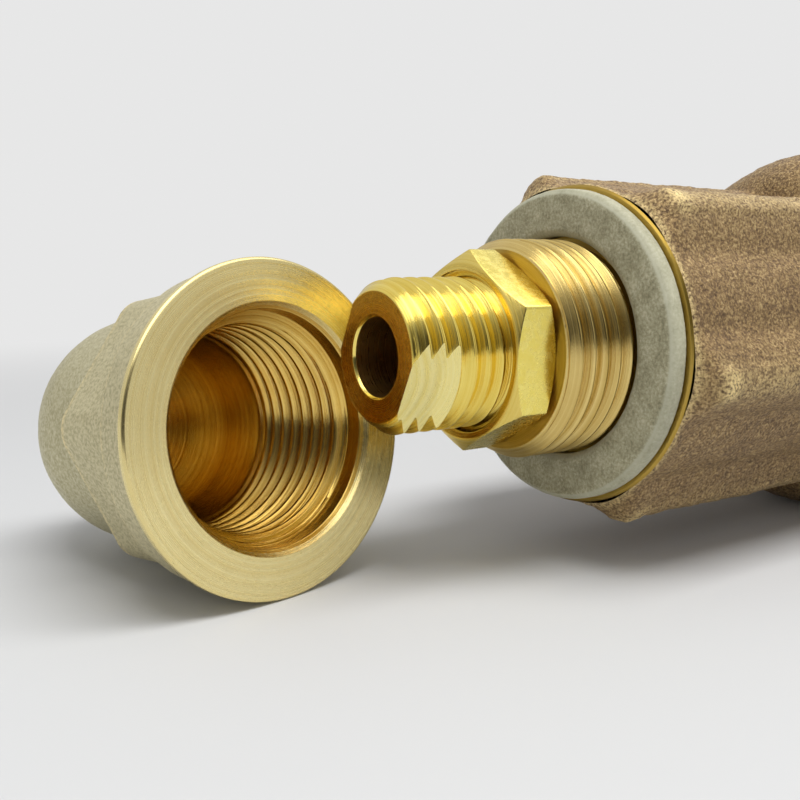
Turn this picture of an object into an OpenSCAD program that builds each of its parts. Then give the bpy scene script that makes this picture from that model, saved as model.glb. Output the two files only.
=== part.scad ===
// Spring-loaded relief valve lying on its side, with its screw-on cap taken off and set down beside it.
// The valve's axis runs along X. Stations along it are counted from the cap's seat on the gasket,
// towards the inlet, and at(station) turns a part built along +Z so that it points towards the inlet.
// The origin is the centre of the inlet's open end.

/* [Cap thread and boss] */
// Major diameter of the cap thread
cap_thread_d = 27; // [26:0.5:28]
// Pitch of the cap thread and of the adjusting screw's thread
pitch = 2; // [1.5:0.5:2]
// How far the threaded boss stands in front of the cap's seat
boss_len = 9; // [8:0.5:10]

/* [Cap gasket] */
// Thickness of the flat gasket
gasket_t = 2.4; // [2:0.1:3]
// Outer diameter of the flat gasket
gasket_d = 39.2; // [38:0.2:40]

/* [Adjusting screw and lock nut] */
// Major diameter of the adjusting screw
screw_d = 18; // [17.5:0.5:18]
// How far the screw stands in front of the cap's seat
screw_out = 26.6; // [25:0.2:27]
// Bore through the hollow screw
screw_bore_d = 9; // [8.4:0.2:9.4]
// Distance across the screw's two wrench flats
flats_af = 13.6; // [13:0.1:14.4]
// Length of the wrench flats
flats_len = 6.2; // [5:0.2:7]
// Direction that the flats face, round the valve's axis
flats_turn = 27; // [0:1:60]
// Distance across the flats of the lock nut
nut_af = 21; // [20.6:0.1:21.2]
// Thickness of the lock nut
nut_t = 5.7; // [5:0.1:6]
// How far the lock nut's corners are turned
nut_turn = 32; // [0:1:60]

/* [Cap] */
// Outer diameter of the cap's machined flange
cap_flange_d = 39.5; // [38.5:0.5:40]
// Diameter of the cap's mouth at its face
cap_mouth_d = 29.4; // [29:0.1:30]
// Distance across the flats of the cap's hexagon, before its corners are rounded
cap_af = 31.4; // [30:0.2:32]
// Outer diameter of the cap's dome
dome_d = 29.8; // [29:0.2:30.4]
// Depth of the dome's centre behind the mouth
dome_depth = 25.2; // [24:0.2:27]
// How far the hexagon's corners are turned
cap_hex_turn = 23; // [0:1:60]
// Where the mouth's centre lies, along the valve from the cap's seat
cap_x = -34.9; // [-60:0.1:-34]
// Where the mouth's centre lies, across the valve
cap_y = 7.8; // [7.8:0.1:40]
// Compass direction that the mouth faces
cap_heading = -77; // [-95:1:-70]
// How far the mouth tips up as the cap lies on its side
cap_tilt = 6.7; // [4:0.1:9]

/* [Bonnet] */
// Distance across the flats of the six-sided casting
bonnet_af = 40.6; // [40:0.2:42]
// Radius of the six rounded ridges
ridge_r = 4; // [3:0.5:5]
// How far each face dips between two ridges
face_dip = 0.5; // [0:0.1:1]
// How far the ridges are turned
ridge_turn = 8; // [0:1:60]
// Diameter of the machined seat under the gasket
seat_d = 40.4; // [40:0.2:41]
// Diameter of the round barrel, and of the body
barrel_d = 56; // [54:1:60]

/* [Body] */
// Distance from the cap's seat to the centre of the outlet
outlet_station = 83; // [83:0.5:84]
// Distance from the valve's axis to the outlet's face
outlet_reach = 50; // [46:1:60]
// Tapping size of the outlet's thread
outlet_bore_d = 30.3; // [28:0.1:31]
// Outer diameter of the inlet's thread
inlet_thread_d = 33.2; // [30:0.1:34]
// Bore of the nozzle
nozzle_bore_d = 19; // [17:0.5:20]

/* [Spring] */
// Wire diameter
wire_d = 3; // [2.4:0.1:3]
// Mean diameter of the coils
coil_d = 24; // [23:0.5:25]
// Number of turns
turns = 4.5; // [4:0.5:4.5]

/* [Hidden] */

$fn = 96;
eps = 0.01;                                 // overlap that joins two shapes of one casting
far = 100;                                  // longer than any cut
run = 0.07;                                 // radial clearance of a running fit
seal_gap = 0.05;                            // radial clearance of a threaded or pressed fit
thread_h = 0.6134 * pitch;                  // depth of an external thread
crest = 0.1;                                // what is taken off a sharp crest, in radius
boss_r = cap_thread_d / 2 - crest;
boss_root_r = cap_thread_d / 2 - thread_h;
screw_r = screw_d / 2 - crest;
screw_root_r = screw_d / 2 - thread_h;
barrel_r = barrel_d / 2;

// Stations along the valve's axis
seat = gasket_t;                            // bonnet's machined seat
ridge_start = seat + 0.2;
shoulder_start = 46.5;                      // where the six-sided casting runs into the round barrel
bonnet_end = 60;
body_start = bonnet_end + 1.5;
spigot_end = 67;
guide_end = spigot_end + 4;
chamber_end = 92;
body_end = 104;
nozzle_seat = 86;
nozzle_hex_start = 105.5;
hex_end = 118;
valve_end = 134;
screw_end = 16;                             // inner end of the adjusting screw
washer_end = screw_end + 1;
upper_plate_end = washer_end + 4;
lower_plate_start = 50;
lower_plate_end = 55;
collar_end = 58;
holder_start = 76.5;
spindle_tip = 79;

// Radii inside the valve
spring_room_r = 16.5;
plate_r = 15.8;
spigot_r = 22;
chamber_r = 19.5;
spindle_r = 3.5;
ball_r = 3;
holder_r = 12;
nozzle_thread_r = 17;

// A tool's frame: local +Z along the valve, local X down, at a station counted from the cap's seat
module at(station)
    translate([station - valve_end, 0, 0]) rotate([0, 90, 0]) children();

// Turns children so that an angle counts round the valve's axis from +Y towards +Z
module around(angle)
    rotate([0, 0, angle + 90]) children();

module ring(outer_r, inner_r, h)
    difference() {
        cylinder(r = outer_r, h = h);
        translate([0, 0, -1]) cylinder(r = inner_r, h = h + 2);
    }

// Outline of a row of thread grooves from z = 0 to length, with crests at one radius and roots at another
function groove_points(crest_r, root_r, length) =
    let (count = floor(length / pitch), land = pitch / 8)
    [for (i = [0:count - 1]) each [
        [crest_r, i * pitch + land],
        [root_r, i * pitch + pitch / 2 - land / 2],
        [root_r, i * pitch + pitch / 2 + land / 2],
        [crest_r, (i + 1) * pitch - land]]];

// A rod with ring-shaped thread grooves
module threaded_rod(crest_r, root_r, length)
    rotate_extrude()
        polygon(concat([[0, 0], [crest_r, 0]], groove_points(crest_r, root_r, length),
                       [[crest_r, length], [0, length]]));

// Outline of a hexagon with rounded corners and slightly hollow sides
function soft_hexagon(af, corner_r, dip) =
    let (vertex = (af / 2 - corner_r) / cos(30))
    [for (k = [0:5]) each concat(
        [for (t = [60 * k - 30:10:60 * k + 30])
            vertex * [cos(60 * k), sin(60 * k)] + corner_r * [cos(t), sin(t)]],
        [for (s = [-0.6:0.3:0.6])
            let (mid = af / 2 - dip * (1 - s * s), along = s * vertex / 2, face = 60 * k + 30)
            [mid * cos(face) - along * sin(face), mid * sin(face) + along * cos(face)]])];

// A hexagonal bar whose front end, at z = 0, is chamfered from a circle
module chamfered_hexagon(af, length, circle_r, slope)
    intersection() {
        cylinder(d = af / cos(30), h = length, $fn = 6);
        cylinder(r1 = circle_r, r2 = circle_r + length / tan(slope), h = length);
    }

// A hexagonal bar chamfered in the same way at both ends
module nut_blank(af, length, circle_r, slope)
    intersection() {
        chamfered_hexagon(af, length, circle_r, slope);
        translate([0, 0, length]) mirror([0, 0, 1])
            cylinder(r1 = circle_r, r2 = circle_r + length / tan(slope), h = length);
    }

// A hole through everything from z = 0 up
module bore(radius)
    translate([0, 0, -eps]) cylinder(r = radius, h = far);

// Cap

flange_edge = 0.3;                          // chamfer of the flange's outer edge
flange_t = 1;
collar_r = cap_flange_d / 2 - 0.6;
collar_end_r = cap_flange_d / 2 - 0.85;
collar_len = 6.2;
cap_hex_end = 17.8;
cap_corner_r = 4.2;
mouth_edge = 0.5;                           // chamfer round the mouth
mouth_r = cap_mouth_d / 2;
counterbore_r = mouth_r - 0.85;
cap_thread_start = 2.4;
cap_lead = 1;                               // length of the thread's lead-in cone
cap_thread_len = 8 * pitch;
cavity_r = 12;
cap_minor_r = cap_thread_d / 2 - 0.54 * pitch;
cap_z = cap_flange_d / 2 * cos(cap_tilt) - barrel_r;

// Where the loose cap lies: its mouth is at z = 0 and its dome points along -Z
module lying_cap()
    translate([cap_x - valve_end, cap_y, cap_z])
        rotate([0, 90 - cap_tilt, cap_heading]) children();

module cap_outside() {
    rotate_extrude()
        polygon([[0, 0], [cap_flange_d / 2 - flange_edge, 0], [cap_flange_d / 2, -flange_edge],
                 [cap_flange_d / 2, -flange_t], [collar_r, -flange_t - 0.2], [collar_end_r, -collar_len],
                 [0, -collar_len]]);
    rotate([0, 0, cap_hex_turn]) translate([0, 0, -cap_hex_end])
        linear_extrude(cap_hex_end - collar_len + eps) polygon(soft_hexagon(cap_af, cap_corner_r, 0));
    translate([0, 0, -dome_depth]) cylinder(d = dome_d, h = dome_depth - collar_len);
    translate([0, 0, -dome_depth]) sphere(d = dome_d);
}

module cap_inside() {
    rotate_extrude()
        polygon([[0, 1], [mouth_r + 1, 1], [mouth_r, 0], [mouth_r - mouth_edge, -mouth_edge],
                 [counterbore_r, -mouth_edge - 0.2], [counterbore_r, -cap_thread_start],
                 [cap_minor_r, -cap_thread_start - cap_lead], [0, -cap_thread_start - cap_lead]]);
    translate([0, 0, -cap_thread_start - cap_thread_len])
        threaded_rod(cap_thread_d / 2 + seal_gap, cap_minor_r, cap_thread_len);
    translate([0, 0, -dome_depth]) cylinder(r = cavity_r, h = dome_depth - cap_thread_start);
    translate([0, 0, -dome_depth]) sphere(r = cavity_r);
}

module cap()
    color("darkkhaki") lying_cap() difference() {
        cap_outside();
        cap_inside();
    }

// Adjusting end

gasket_face_r = gasket_d / 2 - 0.9;         // where the worn bevel of the gasket's front edge begins
gasket_inner_bevel = 0.6;
gasket_bore_r = boss_r + 0.3;
chamfer = 0.8;                              // chamfer of a threaded hole
nut_face_r = nut_af / 2 - 0.1;
nut_slope = 30;

module cap_gasket()
    color("darkgray") at(0) difference() {
        intersection() {
            cylinder(d = gasket_d, h = gasket_t);
            cylinder(r1 = gasket_face_r, r2 = gasket_face_r + gasket_t, h = gasket_t);
        }
        bore(gasket_bore_r);
        translate([0, 0, -eps])
            cylinder(r1 = gasket_bore_r + gasket_inner_bevel, r2 = gasket_bore_r, h = gasket_inner_bevel);
    }

module lock_nut()
    color("gold") at(-boss_len - nut_t) difference() {
        around(nut_turn) nut_blank(nut_af, nut_t, nut_face_r, nut_slope);
        bore(screw_r + run);
        translate([0, 0, -eps]) cylinder(r1 = screw_r + chamfer, r2 = screw_r + run, h = chamfer);
    }

module adjusting_screw()
    color("goldenrod") at(-screw_out) difference() {
        intersection() {
            threaded_rod(screw_r, screw_root_r, screw_out + screw_end);
            cylinder(r1 = screw_root_r - 0.3, r2 = screw_root_r - 0.3 + far, h = far);
        }
        bore(screw_bore_d / 2);
        for (side = [0, 180])
            around(flats_turn + side) translate([flats_af / 2, -far / 2, -1]) cube([far, far, flats_len + 1]);
    }

washer_r = 8.6;

module thrust_washer()
    color("silver") at(screw_end) ring(washer_r, spindle_r + 0.3, washer_end - screw_end);

plate_hub_r = coil_d / 2 - wire_d / 2 - 0.4;
plate_hub_len = 3;

module upper_spring_plate()
    color("peru") at(washer_end) difference() {
        union() {
            cylinder(r = plate_r, h = upper_plate_end - washer_end);
            cylinder(r = plate_hub_r, h = upper_plate_end - washer_end + plate_hub_len);
        }
        bore(spindle_r + run);
    }

// Spring and spindle

spring_start = upper_plate_end + wire_d / 2 + seal_gap;
spring_span = lower_plate_start - upper_plate_end - wire_d - 2 * seal_gap;
end_closing = 0.2 / PI;                     // how much closer together the end turns lie
wire_sides = 10;
rings_per_turn = 20;

// Height along the spring at a share u of its length: the end turns lie closer together
function coil_height(u) = spring_span * (u - end_closing * sin(360 * u));

module spring() {
    rings = turns * rings_per_turn;
    points = [for (i = [0:rings], j = [0:wire_sides - 1])
        let (turn = 360 * i / rings_per_turn, side = 360 * j / wire_sides,
             reach = coil_d / 2 + wire_d / 2 * cos(side))
        [reach * cos(turn), reach * sin(turn), coil_height(i / rings) + wire_d / 2 * sin(side)]];
    walls = [for (i = [0:rings - 1], j = [0:wire_sides - 1])
        let (a = i * wire_sides, b = a + wire_sides, k = (j + 1) % wire_sides)
        [a + j, b + j, b + k, a + k]];
    ends = [[for (j = [0:wire_sides - 1]) j],
            [for (j = [wire_sides - 1:-1:0]) rings * wire_sides + j]];
    color("steelblue") at(spring_start) polyhedron(points, concat(walls, ends), convexity = 10);
}

module lower_spring_plate()
    color("peru") at(lower_plate_start) difference() {
        union() {
            cylinder(r = plate_r, h = lower_plate_end - lower_plate_start);
            translate([0, 0, -plate_hub_len]) cylinder(r = plate_hub_r, h = plate_hub_len + eps);
        }
        translate([0, 0, -plate_hub_len]) bore(spindle_r + seal_gap);
    }

clip_start = lower_plate_start - plate_hub_len - 1.2;
clip_t = 1;
clip_r = spindle_r + 2.2;
clip_groove_r = spindle_r - 0.7;
spindle_start = 2;
spindle_collar_r = 6;
cup_r = ball_r + seal_gap;                  // socket that a ball sits in

module plate_clip()
    color("dimgray") at(clip_start) ring(clip_r, clip_groove_r + seal_gap, clip_t);

module spindle()
    color("lightsteelblue") at(0) difference() {
        union() {
            translate([0, 0, spindle_start]) cylinder(r = spindle_r, h = spindle_tip - spindle_start);
            translate([0, 0, lower_plate_end])
                cylinder(r = spindle_collar_r, h = collar_end - lower_plate_end);
        }
        translate([0, 0, clip_start - seal_gap]) ring(clip_r, clip_groove_r, clip_t + 2 * seal_gap);
        translate([0, 0, spindle_tip]) sphere(r = cup_r);
    }

module thrust_ball()
    color("gainsboro") at(spindle_tip) sphere(r = ball_r);

vent_r = 1.8;
vent_circle_r = 12;

module guide_plate()
    color("peru") at(spigot_end) difference() {
        cylinder(r = spigot_r - 0.1, h = guide_end - spigot_end);
        bore(spindle_r + run);
        for (vent = [0:60:300])
            rotate(vent) translate([vent_circle_r, 0, 0]) bore(vent_r);
    }

// Castings

// Radius of the bonnet's shoulder, a full round rise from the six-sided part up to the barrel
shoulder_low_r = 19.9;
shoulder_fullness = 2.4;
shoulder_step = 1.5;
function shoulder_r(station) =
    let (share = max(0, 1 - (station - shoulder_start + 0.1) / (bonnet_end - shoulder_start)))
    shoulder_low_r + (barrel_r - shoulder_low_r)
        * pow(1 - pow(share, shoulder_fullness), 1 / shoulder_fullness);
seat_rim = 2;                               // length of the round rim behind the seat
ridge_end = shoulder_start + 6;
neck_start = 12;                            // the thread ends here and the spring room begins
neck_end = 14;
neck_r = 10;

module bonnet()
    color("rosybrown") at(0) difference() {
        union() {
            translate([0, 0, -boss_len]) intersection() {
                threaded_rod(boss_r, boss_root_r, boss_len + seat);
                cylinder(r1 = boss_root_r, r2 = boss_root_r + far, h = far);
            }
            intersection() {
                translate([0, 0, ridge_start]) linear_extrude(ridge_end - ridge_start)
                    rotate(ridge_turn + 90) polygon(soft_hexagon(bonnet_af, ridge_r, face_dip));
                translate([0, 0, ridge_start]) cylinder(r1 = seat_d / 2, r2 = seat_d / 2 + far, h = far);
            }
            translate([0, 0, seat]) cylinder(d = seat_d, h = seat_rim);
            translate([0, 0, seat]) cylinder(r = shoulder_low_r, h = shoulder_start - seat + eps);
            rotate_extrude()
                polygon(concat([[0, shoulder_start]],
                    [for (s = [shoulder_start:shoulder_step:bonnet_end]) [shoulder_r(s), s]],
                    [[0, bonnet_end]]));
            translate([0, 0, bonnet_end - eps])
                cylinder(r = spigot_r - 0.1, h = spigot_end - bonnet_end + eps);
        }
        translate([0, 0, -boss_len]) bore(screw_r + run);
        translate([0, 0, neck_start]) cylinder(r1 = neck_r, r2 = spring_room_r, h = neck_end - neck_start);
        translate([0, 0, neck_end]) bore(spring_room_r);
    }

module bonnet_gasket()
    color("gray") at(bonnet_end) ring(barrel_r - 0.4, spigot_r + 0.1, body_start - bonnet_end);

outlet_boss_r = 20.5;
outlet_band = 15;                           // length of the eight-sided band at the outlet's face
outlet_af = 42;
outlet_thread_len = 20;
outlet_way_r = 8;
outlet_cone_start = 20;
outlet_cone_r = 14;
drain_station = 88;
drain_thread_r = 4.6;
drain_boss_r = 9;
drain_reach = barrel_r + 2;
drain_hex_af = 12;
drain_hex_len = 5;
drain_flange_r = 7.3;
drain_flange_t = 1;
drain_gasket_t = 1;

// Frames of the two branches: local +Z out of the branch
module at_outlet()
    at(outlet_station) rotate([-90, 0, 0]) children();
module at_drain()
    at(drain_station) rotate([90, 0, 0]) children();

module body()
    color("rosybrown") difference() {
        union() {
            at(body_start) cylinder(r = barrel_r, h = body_end - body_start);
            at_outlet() {
                cylinder(r = outlet_boss_r, h = outlet_reach);
                translate([0, 0, outlet_reach - outlet_band]) rotate(22.5)
                    cylinder(d = outlet_af / cos(22.5), h = outlet_band, $fn = 8);
            }
            at_drain() cylinder(r = drain_boss_r, h = drain_reach);
        }
        at(body_start - 1) cylinder(r = spigot_r, h = guide_end - body_start + 1);
        at(guide_end - eps) cylinder(r = chamber_r, h = chamber_end - guide_end);
        at(chamber_end - 1) bore(nozzle_thread_r + seal_gap);
        at_outlet() {
            bore(outlet_way_r);
            translate([0, 0, outlet_reach - outlet_thread_len]) bore(outlet_bore_d / 2);
            translate([0, 0, outlet_cone_start])
                cylinder(r1 = outlet_way_r, r2 = outlet_cone_r,
                         h = outlet_reach - outlet_thread_len - outlet_cone_start + eps);
        }
        at_drain() bore(drain_thread_r + seal_gap);
    }

module drain_gasket()
    color("tan") at_drain() translate([0, 0, drain_reach])
        ring(drain_flange_r + 0.2, drain_thread_r + 0.1, drain_gasket_t);

module drain_plug()
    color("goldenrod") at_drain() {
        translate([0, 0, drain_reach + drain_gasket_t]) cylinder(r = drain_flange_r, h = drain_flange_t);
        translate([0, 0, drain_reach + drain_gasket_t + drain_flange_t - eps])
            cylinder(d = drain_hex_af / cos(30), h = drain_hex_len, $fn = 6);
        translate([0, 0, chamber_r + 1.5]) cylinder(r = drain_thread_r, h = drain_reach - chamber_r);
    }

// Disc and nozzle

seal_t = 2.4;
seal_r = 10.4;
retainer_r = 5.5;
retainer_t = 1;
m5_r = 2.5;
m5_head_af = 8;
m5_head_t = 3.2;
m5_len = 4;
holder_len = nozzle_seat - holder_start - 0.1;
cup_depth = spindle_tip - holder_start;

module disc_holder()
    color("lightsteelblue") at(holder_start) difference() {
        cylinder(r = holder_r, h = holder_len);
        translate([0, 0, -1]) cylinder(r = spindle_r + run, h = cup_depth + 1);
        translate([0, 0, cup_depth]) sphere(r = cup_r);
        translate([0, 0, nozzle_seat - holder_start - seal_t]) bore(seal_r + seal_gap);
        translate([0, 0, cup_depth + ball_r + 0.3]) bore(m5_r + seal_gap);
    }

module disc_seal()
    color("white") at(nozzle_seat - seal_t) ring(seal_r, m5_r + seal_gap, seal_t);

module seal_retainer()
    color("silver") at(nozzle_seat) ring(retainer_r, m5_r + seal_gap, retainer_t);

module seal_screw()
    color("silver") at(nozzle_seat + retainer_t) {
        cylinder(d = m5_head_af / cos(30), h = m5_head_t, $fn = 6);
        translate([0, 0, -m5_len]) cylinder(r = m5_r, h = m5_len + eps);
    }

nozzle_hex_af = barrel_d;                   // the valve lies on one of these flats and on its barrel
nozzle_lip = 0.8;                           // width of the nozzle's seating lip
nozzle_tube_r = 13;
nozzle_cone = 3;
nozzle_gasket_r = 22;

module nozzle()
    color("darkkhaki") at(0) difference() {
        union() {
            translate([0, 0, nozzle_seat])
                cylinder(r1 = nozzle_bore_d / 2 + nozzle_lip, r2 = nozzle_tube_r, h = nozzle_cone);
            translate([0, 0, nozzle_seat + nozzle_cone - eps])
                cylinder(r = nozzle_tube_r, h = chamber_end - nozzle_seat - nozzle_cone + 2 * eps);
            translate([0, 0, chamber_end])
                cylinder(r = nozzle_thread_r, h = nozzle_hex_start - chamber_end + eps);
            translate([0, 0, nozzle_hex_start]) around(0)
                nut_blank(nozzle_hex_af, hex_end - nozzle_hex_start, nozzle_hex_af / 2 - 0.5, nut_slope);
            translate([0, 0, hex_end - eps]) cylinder(d = inlet_thread_d, h = valve_end - hex_end + eps);
        }
        translate([0, 0, nozzle_seat]) bore(nozzle_bore_d / 2);
    }

module nozzle_gasket()
    color("tan") at(body_end) ring(nozzle_gasket_r, nozzle_thread_r + 0.1, nozzle_hex_start - body_end);

cap();
cap_gasket();
lock_nut();
adjusting_screw();
thrust_washer();
upper_spring_plate();
spring();
lower_spring_plate();
plate_clip();
spindle();
thrust_ball();
guide_plate();
bonnet();
bonnet_gasket();
body();
disc_holder();
disc_seal();
seal_retainer();
seal_screw();
nozzle();
nozzle_gasket();
drain_plug();
drain_gasket();
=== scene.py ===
"""A relief valve lying on its side, with its domed screw-on cap taken off and set down in front of it.

Lengths in the shape code are millimetres in each piece's own frame, whose Z is the axis that the piece
was turned about. Stations along the valve count from the cap's seat towards the inlet.
"""

import math

import bmesh
import bpy
import numpy as np
from mathutils import Matrix, Vector, noise


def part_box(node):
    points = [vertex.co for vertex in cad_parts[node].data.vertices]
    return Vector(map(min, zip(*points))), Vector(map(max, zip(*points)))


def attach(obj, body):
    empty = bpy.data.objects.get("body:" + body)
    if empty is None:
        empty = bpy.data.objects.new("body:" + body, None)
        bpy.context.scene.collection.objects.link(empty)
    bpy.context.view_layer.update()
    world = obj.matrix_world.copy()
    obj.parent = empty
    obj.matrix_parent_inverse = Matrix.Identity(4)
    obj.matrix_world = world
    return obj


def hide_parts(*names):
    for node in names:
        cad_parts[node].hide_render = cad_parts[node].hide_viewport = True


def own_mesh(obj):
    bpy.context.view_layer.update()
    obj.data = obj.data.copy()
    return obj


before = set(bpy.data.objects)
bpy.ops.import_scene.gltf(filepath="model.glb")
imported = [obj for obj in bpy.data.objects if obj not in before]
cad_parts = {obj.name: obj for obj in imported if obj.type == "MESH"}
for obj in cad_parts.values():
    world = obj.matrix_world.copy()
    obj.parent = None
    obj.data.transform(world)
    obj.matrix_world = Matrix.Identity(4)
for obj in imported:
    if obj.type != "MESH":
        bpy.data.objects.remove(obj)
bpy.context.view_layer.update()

MM = 0.001
TAU = 2 * math.pi
COLS = 288                                   # points round a turned piece
PITCH = 2.0
SEAT = round(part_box("cap_gasket")[0].x / MM, 3)      # the cap's seat, where stations start
FLOOR_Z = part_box("bonnet")[0].z


# ---------------------------------------------------------------- frames

def valve_frame(station):
    """Local Z along the valve towards the inlet, local X down, at a station."""
    return Matrix.Translation(((SEAT + station) * MM, 0, 0)) @ Matrix.Rotation(math.pi / 2, 4, "Y")


CAP_X, CAP_Y = -34.9, 7.8                    # centre of the loose cap's mouth, from the seat
CAP_HEADING = math.radians(-77)
CAP_TILT = math.radians(6.7)
CAP_FLANGE_R = 19.75


def cap_frame():
    """Local Z out of the cap's mouth, whose centre is the origin."""
    height = FLOOR_Z / MM + CAP_FLANGE_R * math.cos(CAP_TILT)
    place = Vector((SEAT + CAP_X, CAP_Y, height)) * MM
    return (
        Matrix.Translation(place)
        @ Matrix.Rotation(CAP_HEADING, 4, "Z")
        @ Matrix.Rotation(math.pi / 2 - CAP_TILT, 4, "Y")
    )


# ---------------------------------------------------------------- meshes

class Skin:
    """Grids of points in millimetres, welded into one closed mesh."""

    def __init__(self):
        self.points, self.faces, self.marks = [], [], []
        self.count = 0

    def grid(self, points, mark=0, close_rows=False):
        """points is rows x columns x 3; the columns close into rings."""
        rows, cols, _ = points.shape
        self.points.append(points.reshape(-1, 3))
        last = rows if close_rows else rows - 1
        r = np.arange(last)[:, None]
        c = np.arange(cols)[None, :]
        r2, c2 = (r + 1) % rows, (c + 1) % cols
        corners = (r * cols + c, r * cols + c2, r2 * cols + c2, r2 * cols + c)
        quads = np.stack(np.broadcast_arrays(*corners), -1)
        quads = quads.reshape(-1, 4) + self.count
        self.faces.append(quads)
        marks = np.broadcast_to(np.asarray(mark).reshape(-1, 1), (last, cols)).reshape(-1)
        self.marks.append(marks)
        self.count += rows * cols

    def helix(self, rows, cols, per_turn, points, mark=0):
        """A skewed grid whose rows follow a thread: row i meets row i + per_turn after one turn."""
        self.points.append(points.reshape(-1, 3))
        i = np.arange(rows - 1)[:, None]
        c = np.arange(cols - 1)[None, :]
        corners = (i * cols + c, i * cols + c + 1, (i + 1) * cols + c + 1, (i + 1) * cols + c)
        body = np.stack(np.broadcast_arrays(*corners), -1)
        i = np.arange(rows - 1 - per_turn)
        over = i + per_turn
        seam = np.stack((i * cols + cols - 1, over * cols, (over + 1) * cols, (i + 1) * cols + cols - 1), -1)
        quads = np.concatenate((body.reshape(-1, 4), seam)) + self.count
        self.faces.append(quads)
        self.marks.append(np.full(len(quads), mark))
        self.count += rows * cols

    def build(self, name, matrix, materials, sharp=35.0):
        points, faces, marks = welded(
            np.concatenate(self.points), np.concatenate(self.faces), np.concatenate(self.marks))
        mesh = bpy.data.meshes.new(name)
        mesh.from_pydata((points * MM).tolist(), [], faces)
        mesh.polygons.foreach_set("material_index", marks.astype(np.int32))
        for material in materials:
            mesh.materials.append(material)
        bm = bmesh.new()
        bm.from_mesh(mesh)
        bmesh.ops.recalc_face_normals(bm, faces=bm.faces)
        bm.to_mesh(mesh)
        bm.free()
        finish_mesh(mesh, sharp)
        obj = bpy.data.objects.new(name, mesh)
        bpy.context.scene.collection.objects.link(obj)
        obj.matrix_world = matrix
        return obj


def welded(points, quads, marks, apart=0.0004):
    """Joins points that coincide, and drops the faces that this closes up."""
    keys = np.round(points / apart).astype(np.int64)
    _, first, same = np.unique(keys, axis=0, return_index=True, return_inverse=True)
    quads = same.reshape(-1)[quads]
    faces, kept = [], []
    for quad, mark in zip(quads.tolist(), marks.tolist()):
        ring = [v for i, v in enumerate(quad) if v != quad[i - 1]]
        if len(ring) >= 3 and len(set(ring)) == len(ring):
            faces.append(ring)
            kept.append(mark)
    return points[first], faces, np.array(kept)


def finish_mesh(mesh, sharp):
    mesh.shade_smooth()
    mesh.set_sharp_from_angle(angle=math.radians(sharp))


def angles(cols=COLS):
    return np.arange(cols) / cols * TAU


def polar(z, r, theta):
    """rows x columns x 3 points from rows x columns z and r."""
    z, r = np.broadcast_arrays(z, r)
    return np.stack((r * np.cos(theta), r * np.sin(theta), z), -1)


def profile(controls, theta, step=None, arc=4):
    """Rounds a profile's corners and spaces its points.

    controls: (z, r, corner size, mark) each, where z and r are numbers or one value for each angle.
    Returns z and r as rows x columns, and the mark of the stretch that starts at each row."""
    cols = len(theta)
    zs = np.array([np.broadcast_to(c[0], cols) for c in controls], float)
    rs = np.array([np.broadcast_to(c[1], cols) for c in controls], float)
    pts = np.stack((zs, rs), -1)
    out, marks = [], []

    def stretch(a, b, mark):
        n = 1
        if step:
            n = max(1, int(math.ceil(np.linalg.norm(b - a, axis=-1).max() / step)))
        for k in range(n):
            out.append(a + (b - a) * (k / n))
            marks.append(mark)

    here = pts[0]
    for k in range(1, len(controls)):
        mark, size = controls[k - 1][3], controls[k][2]
        if k == len(controls) - 1 or not size:
            stretch(here, pts[k], mark)
            here = pts[k]
            continue
        before, after = pts[k - 1] - pts[k], pts[k + 1] - pts[k]
        lb = np.linalg.norm(before, axis=-1, keepdims=True) + 1e-9
        la = np.linalg.norm(after, axis=-1, keepdims=True) + 1e-9
        a = pts[k] + before / lb * np.minimum(size, 0.45 * lb)
        b = pts[k] + after / la * np.minimum(size, 0.45 * la)
        stretch(here, a, mark)
        for i in range(arc):
            t = i / arc
            out.append(a * (1 - t) ** 2 + pts[k] * 2 * t * (1 - t) + b * t * t)
            marks.append(controls[k][3] if t >= 0.5 else mark)
        here = b
    out.append(here)
    marks.append(controls[-1][3])
    rows = np.array(out)
    return rows[..., 0], rows[..., 1], np.array(marks)


def add_profile(skin, controls, theta, step=None, arc=4, closed=False):
    z, r, marks = profile(controls, theta, step, arc)
    skin.grid(polar(z, r, theta), marks if closed else marks[:-1], close_rows=closed)
    return skin


def add_thread(skin, z0, z1, form, limit, theta, mark=0, rows_per_pitch=20, keep=np.minimum, pitch=PITCH):
    """A right-handed helical thread between two heights. form: (phase, radius) points over one pitch.
    limit(z) is the lead-in and run-out, which keep() combines with the thread."""
    cols = len(theta)
    phases = np.array([p for p, _ in form])
    radii = np.array([r for _, r in form])
    extra = np.arange(rows_per_pitch) / rows_per_pitch
    rows_at = np.array(sorted(set(np.round(np.concatenate((phases, extra)), 4))))
    keepers = [0]
    for i in range(1, len(rows_at)):
        if rows_at[i] - rows_at[keepers[-1]] > 0.012 or rows_at[i] in np.round(phases, 4):
            keepers.append(i)
    rows_at = rows_at[keepers]
    per = len(rows_at)
    start = z0 - 1.2 * pitch
    turns = int(math.ceil((z1 - start) / pitch + 1.2))
    heights = (start + pitch * (np.arange(turns)[:, None] + rows_at[None, :])).reshape(-1)
    z = np.clip(heights[:, None] + pitch * theta[None, :] / TAU, z0, z1)
    phase = (z - pitch * theta[None, :] / TAU - start) / pitch % 1
    r = np.interp(phase, phases, radii, period=1)
    r = keep(r, limit(z))
    skin.helix(len(heights), cols, per, polar(z, r, theta), mark)


def end_radii(z, z0, form, limit, theta, keep=np.minimum, pitch=PITCH):
    """The radius that add_thread gives at one of its ends, for the ring that joins it."""
    phases = np.array([p for p, _ in form])
    radii = np.array([r for _, r in form])
    phase = (z - pitch * theta / TAU - (z0 - 1.2 * pitch)) / pitch % 1
    return keep(np.interp(phase, phases, radii, period=1), limit(np.full_like(theta, z)))


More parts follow.
